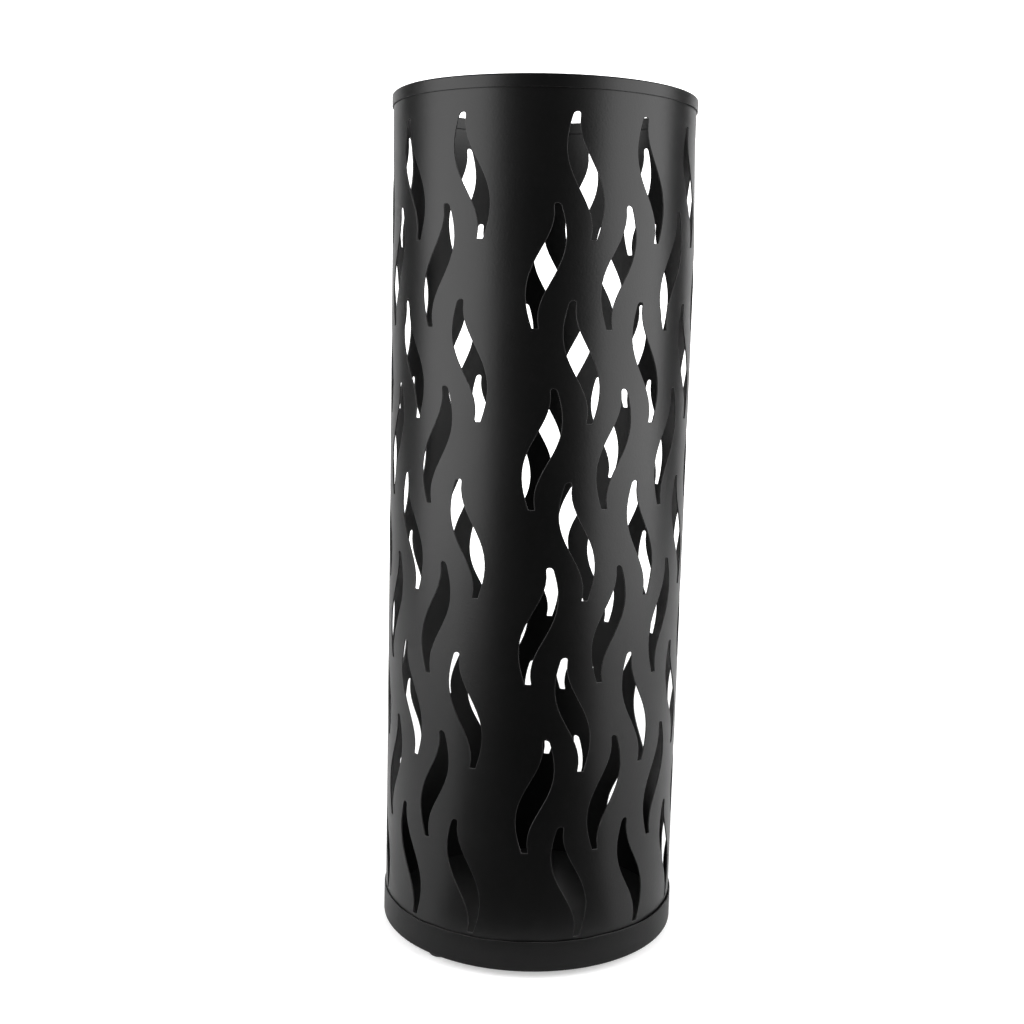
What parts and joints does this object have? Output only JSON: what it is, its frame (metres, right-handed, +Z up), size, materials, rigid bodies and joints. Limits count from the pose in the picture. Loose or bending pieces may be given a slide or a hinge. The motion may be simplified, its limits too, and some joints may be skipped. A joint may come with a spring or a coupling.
{
  "type": "umbrella stand",
  "caption": "Round open-topped umbrella stand: a slotted sheet-steel tube with a hoop over its mouth edge, joined to a shallow drip pan on rubber feet.",
  "frame": {"origin": "on the floor, at the centre of the stand (bottom centre of its bounding box)", "axes": "+Z up along the tube's axis, -Y towards the front; azimuths run from the front towards +X"},
  "size_m": [0.1764, 0.1766, 0.49],
  "materials": {
    "black_coat": "satin black powder coat on sheet steel",
    "foot_rubber": "matt black moulded rubber"
  },
  "bodies": {
    "root": {"shell": "black_coat", "rim_hoop": "black_coat", "base_pan": "black_coat", "foot_front_left": "foot_rubber", "foot_right": "foot_rubber", "foot_rear": "foot_rubber"}
  },
  "joints": []
}
